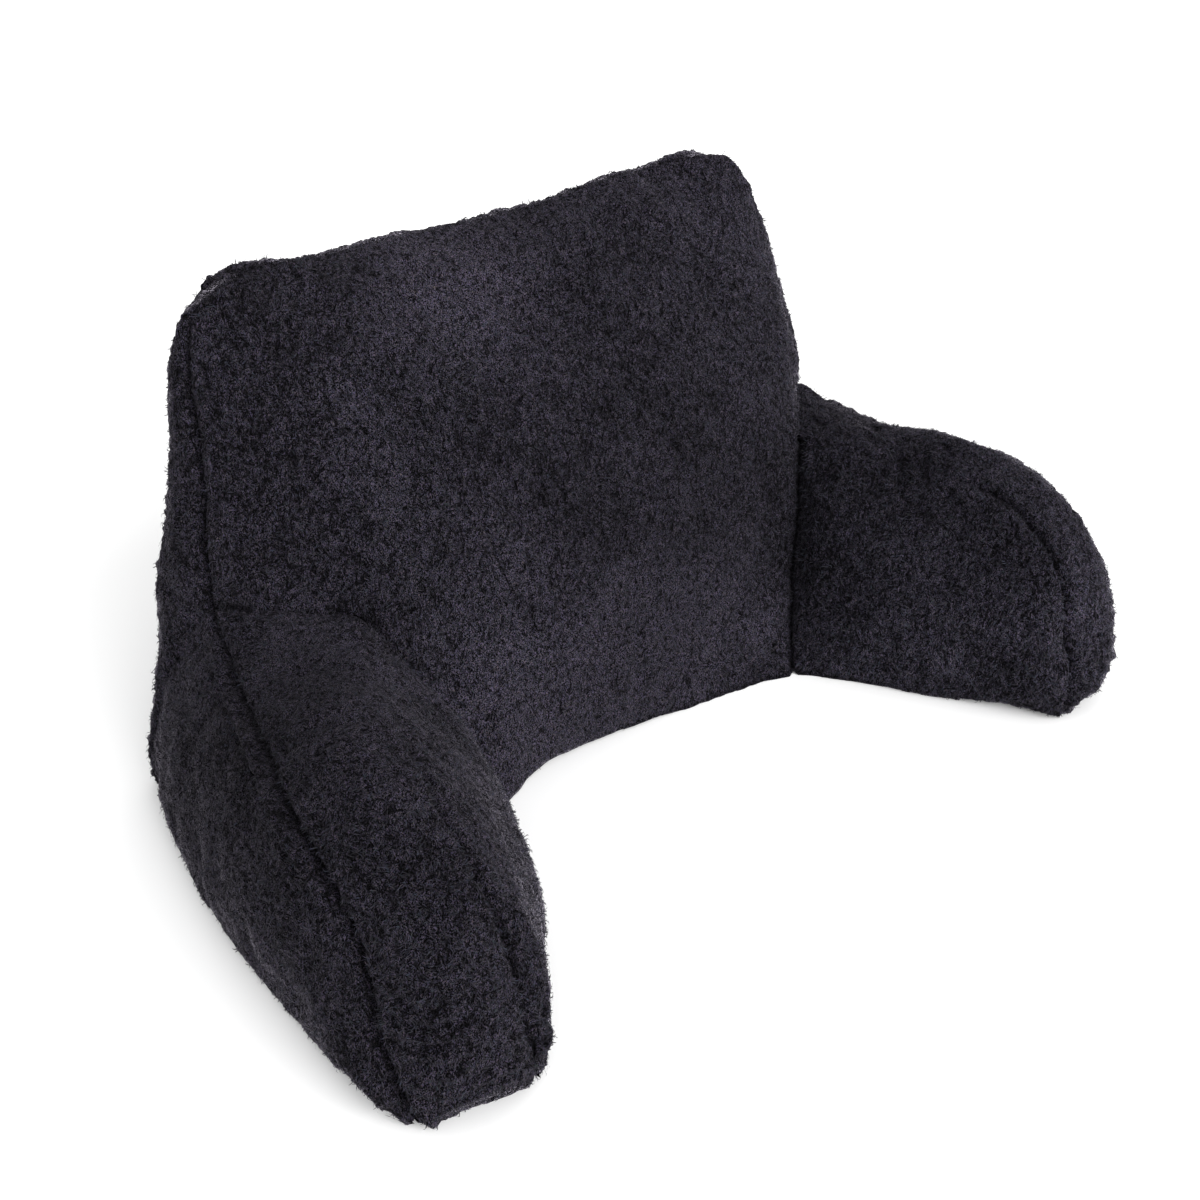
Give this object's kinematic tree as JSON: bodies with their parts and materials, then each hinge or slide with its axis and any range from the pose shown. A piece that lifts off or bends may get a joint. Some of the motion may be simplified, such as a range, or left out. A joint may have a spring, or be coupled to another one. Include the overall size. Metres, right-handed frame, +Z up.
{
  "type": "cuddle cushion",
  "caption": "Backrest cushion with two splayed arms, a wedge of filled teddy fleece that stands on a bed or floor behind a sitting person.",
  "frame": {"origin": "under the middle of the whole cushion's box, on the surface it stands on", "axes": "+X across the cushion, to the right of someone who looks at its front; -Y towards the front, where the arms reach; +Z up"},
  "size_m": [0.7854, 0.4534, 0.3983],
  "materials": {
    "fleece": "deep navy black teddy fleece with a curly, matted pile, matt with a soft sheen at grazing angles"
  },
  "bodies": {
    "root": {"backrest": "fleece", "arm_left": "fleece", "arm_right": "fleece"}
  },
  "joints": []
}
